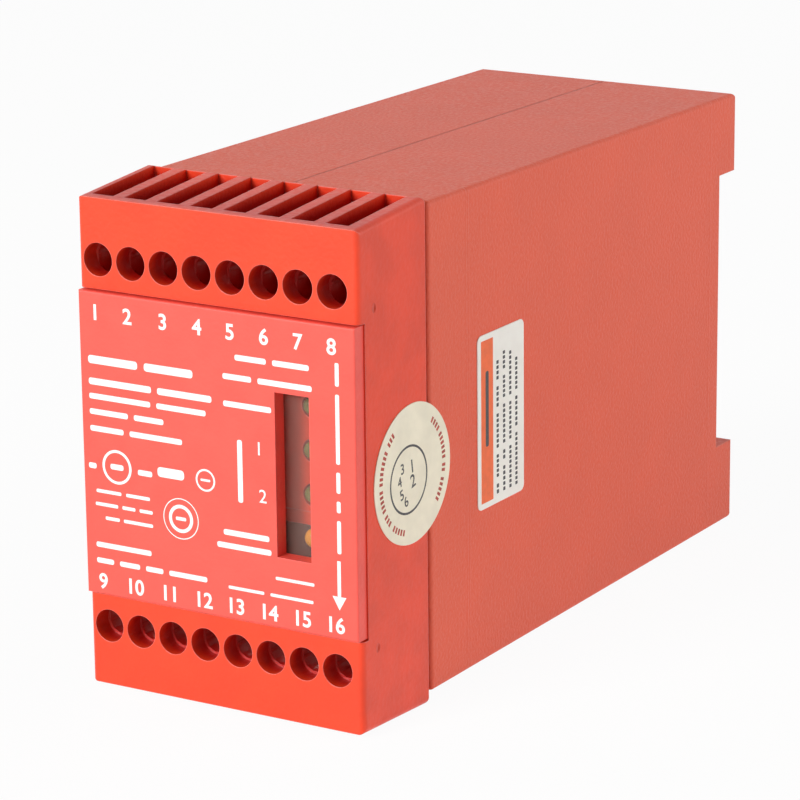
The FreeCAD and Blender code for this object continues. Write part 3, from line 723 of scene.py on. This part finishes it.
drawing = bmesh.new()
for text, x, y in (("1", 6.9, 2.3), ("2", 7.4, -4.3)):
    figures(drawing, text, x, y, 1.9, 0.01)
for x, y, radius, width in ((-16.6, -3.6, 2.25, 0.40), (-1.9, -3.3, 1.45, 0.28),
                            (-6.1, -9.4, 2.85, 0.14), (-6.1, -9.4, 1.75, 0.50)):
    arc(drawing, x, y, radius, width)
for x, y, length, height in ((-16.6, -3.6, 2.2, 0.80), (-20.7, -3.9, 1.3, 0.80),
                             (-11.9, -3.8, 2.4, 0.80), (-7.6, -3.2, 4.4, 1.40),
                             (-1.9, -3.3, 1.6, 0.34), (-6.1, -9.4, 1.7, 0.50)):
    bar(drawing, x, y, length, height)
printed("round_marks", drawing, cover_front, white_ink)

drawing = bmesh.new()
arrow_x = 19.35
head_from, head_to, head_half_width = -16.4, -18.3, 1.1
shaft_from, shaft_to = -11.4, -16.38
bar(drawing, arrow_x, (shaft_from + shaft_to) / 2, shaft_from - shaft_to, 0.55, turn=90,
    roundness=0.1)
drawing.faces.new([drawing.verts.new(Vector((x, y, 0)) * mm)
                   for x, y in ((arrow_x - head_half_width, head_from),
                                (arrow_x + head_half_width, head_from), (arrow_x, head_to))])
printed("arrow", drawing, cover_front, white_ink)


# Seal: a round paper sticker glued over the joint between head and case on the right side, so that
# the head can't be pulled off unseen.  Red marks run round its rim and a stamped ring holds figures.

cream = (0.95, 0.885, 0.70)
seal_low, seal_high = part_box("seal_disc")
dress(surface("seal_paper_stock", cream, (0.50, 0.66), drift=3, depth_of_drift=0.05,
              grain=0.18, grain_depth=0.012, corner=0.05, pale=0.1), "seal_disc")
seal_y = (seal_low.y + seal_high.y) / 2 / mm
seal_z = (seal_low.z + seal_high.z) / 2 / mm
rim_red = surface("seal_rim_ink", (0.44, 0.055, 0.03), (0.45, 0.60), drift=0.6,
                  depth_of_drift=0.25, grain=0.12, grain_depth=0.003)
black_ink = surface("black_ink", (0.045, 0.042, 0.045), (0.40, 0.55), drift=0.5,
                    depth_of_drift=0.3, grain=0.12, grain_depth=0.003)


def facing_right(depth):
    """Takes a flat drawing, x right and y up, to the relay's right side."""
    return Matrix(((0, 0, 1, depth), (1, 0, 0, 0), (0, 1, 0, 0), (0, 0, 0, 1)))


seal_side = facing_right(seal_high.x)
rim_radius = 8.15
mark_length = 0.85
runs_of_marks = ((126, 141), (145, 178), (183, 206), (211, 226), (231, 255),
                 (-41, -17), (-12, -4), (1, 30), (34, 52))
drawing = bmesh.new()
for first_angle, last_angle in runs_of_marks:
    for angle in range(first_angle, last_angle, 5):
        arc(drawing, seal_y, seal_z, rim_radius, mark_length, start=angle, sweep=3)
printed("seal_rim_marks", drawing, seal_side, rim_red)
stamp_y = seal_y - 1.05
stamp_z = seal_z - 0.6
drawing = bmesh.new()
arc(drawing, stamp_y, stamp_z, 4.68, 0.32)
for text, y, z, height, turn in (("1", 0.9, 1.6, 1.9, 8), ("2", 1.1, -0.5, 1.9, 12),
                                 ("3", -1.6, 1.8, 1.5, 5), ("4", -2.3, 0.1, 1.5, 12),
                                 ("5", -1.8, -1.8, 1.5, 16), ("6", -0.7, -3.0, 1.5, 20)):
    figures(drawing, text, stamp_y + y, stamp_z + z, height, 0.03, turn)
printed("seal_stamp", drawing, seal_side, black_ink)


# Side label: a paper sticker with rounded corners on the right of the case, printed with an orange
# field and with lines of dashes that run up the label.

label_low, label_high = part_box("side_label")
dress(surface("label_paper_stock", (0.985, 0.95, 0.88), (0.34, 0.48), drift=4,
              depth_of_drift=0.04, grain=0.18, grain_depth=0.008, corner=0.05, pale=0.1),
      "side_label")
orange_ink = surface("orange_ink", (0.95, 0.15, 0.03), (0.34, 0.48), drift=1.2,
                     depth_of_drift=0.06, grain=0.12, grain_depth=0.003)
label_side = facing_right(label_high.x)
field_width = 3.3
field_inset = 0.95
field_margin = 0.85
field_y = label_low.y / mm + field_inset + field_width / 2
field_z = (label_low.z + label_high.z) / 2 / mm
field_height = (label_high.z - label_low.z) / mm - 2 * field_margin
drawing = bmesh.new()
bar(drawing, field_y, field_z, field_width, field_height, roundness=0.03)
printed("label_field", drawing, label_side, orange_ink)
lines_margin = 1.2
lines_from = label_low.z / mm + lines_margin
drawing = bmesh.new()
for y, lengths in ((-68.3, (1.7, 3.5, 5.2, 3.2, 3.0)), (-66.5, (3.9, 1.6, 5.9, 3.4, 2.8)),
                   (-64.75, (6.4, 5.7, 6.6)), (-63.05, (7.9, 4.6, 4.9))):
    words(drawing, y, lines_from, lengths, 0.62, gap=0.75, turn=90, dash=0.72)
printed("label_lines", drawing, label_side, black_ink)
drawing = bmesh.new()
bar(drawing, field_y, 1.9, 10.9, 0.85, turn=90)
printed("label_field_bar", drawing, facing_right(label_high.x + ink_thickness), black_ink)


# Studio: a wide pale sheet under the relay, a soft lamp to the front left, another on the right, and
# a white room that lights the relay only a little.

relay_middle = (cad_box[0] + cad_box[1]) / 2


def soft_lamp(name, azimuth, elevation, away, size, power):
    """A round soft lamp aimed at the relay; the azimuth runs from straight in front to the right."""
    turn, rise = math.radians(azimuth), math.radians(elevation)
    outward = Vector((math.sin(turn) * math.cos(rise), -math.cos(turn) * math.cos(rise),
                      math.sin(rise)))
    light = bpy.data.lights.new(name, "AREA")
    light.shape = "DISK"
    light.size = size
    light.energy = power
    holder = bpy.data.objects.new(name, light)
    bpy.context.scene.collection.objects.link(holder)
    holder.location = relay_middle + outward * away
    holder.rotation_euler = outward.to_track_quat("Z", "Y").to_euler()


soft_lamp("soft_lamp_front", -15, 23, away=1.4, size=0.6, power=18.5)
soft_lamp("soft_lamp_side", 112, 13, away=1.3, size=0.9, power=8.5)

sheet_reach = 3.0
clearance = 0.02 * mm
sheet = bmesh.new()
bmesh.ops.create_grid(sheet, x_segments=2, y_segments=2, size=sheet_reach)
bmesh.ops.translate(sheet, verts=sheet.verts, vec=(0, 0, cad_box[0].z - clearance))
sheet_mesh = bpy.data.meshes.new("studio_sheet")
sheet.to_mesh(sheet_mesh)
sheet.free()
floor = bpy.data.objects.new("studio_sheet", sheet_mesh)
bpy.context.scene.collection.objects.link(floor)
paper, tree, shader = new_material("pale_sheet")
shader.inputs["Base Color"].default_value = (0.92, 0.92, 0.91, 1)
shader.inputs["Roughness"].default_value = 0.8


def looked_at(tree):
    """1 for what the lens sees straight, in a gloss or through glass, and 0 for light on things."""
    rays = add(tree, "LightPath").outputs
    in_gloss_or_glass = maths(tree, "MAXIMUM", rays["Is Glossy Ray"], rays["Is Transmission Ray"])
    return maths(tree, "MAXIMUM", in_gloss_or_glass, rays["Is Camera Ray"])


white = (1, 1, 1, 1)
sheet_glow = 0.95
glow = add(tree, "Emission", {"Color": white, "Strength": 1.0})
lit_or_glowing = add(tree, "MixShader", {0: maths(tree, "MULTIPLY", looked_at(tree), sheet_glow),
                                         1: shader.outputs["BSDF"], 2: glow.outputs["Emission"]})
tree.links.new(lit_or_glowing.outputs["Shader"],
               tree.nodes["Material Output"].inputs["Surface"])
sheet_mesh.materials.append(paper)

world = bpy.data.worlds.new("white_room")
bpy.context.scene.world = world
world.use_nodes = True
tree = world.node_tree
room_light = 0.13
level = add(tree, "MapRange", {"Value": looked_at(tree), "To Min": room_light, "To Max": 1.0})
tree.links.new(level.outputs["Result"], tree.nodes["Background"].inputs["Strength"])
tree.nodes["Background"].inputs["Color"].default_value = white


# Camera: a long lens to the front right and a little above, aimed near the relay's middle and
# rolled by about half a degree.

azimuth, elevation, roll = (math.radians(angle) for angle in (31.617, 15.444, -0.608))
aim = Vector((1.013, -59.2, -2.638)) * mm
distance = 543.034 * mm
back = Vector((math.sin(azimuth) * math.cos(elevation), -math.cos(azimuth) * math.cos(elevation),
               math.sin(elevation)))
level_right = Vector((math.cos(azimuth), math.sin(azimuth), 0))
level_up = back.cross(level_right)
right = math.cos(roll) * level_right + math.sin(roll) * level_up
up = math.cos(roll) * level_up - math.sin(roll) * level_right
optics = bpy.data.cameras.new("camera")
optics.lens = 168.62
optics.sensor_width = 36.0
optics.clip_start = 0.01
camera = bpy.data.objects.new("camera", optics)
bpy.context.scene.collection.objects.link(camera)
turned = Matrix((right, up, back)).transposed().to_4x4()
camera.matrix_world = Matrix.Translation(aim + back * distance) @ turned
bpy.context.scene.camera = camera
bpy.context.scene.view_settings.view_transform = "Standard"
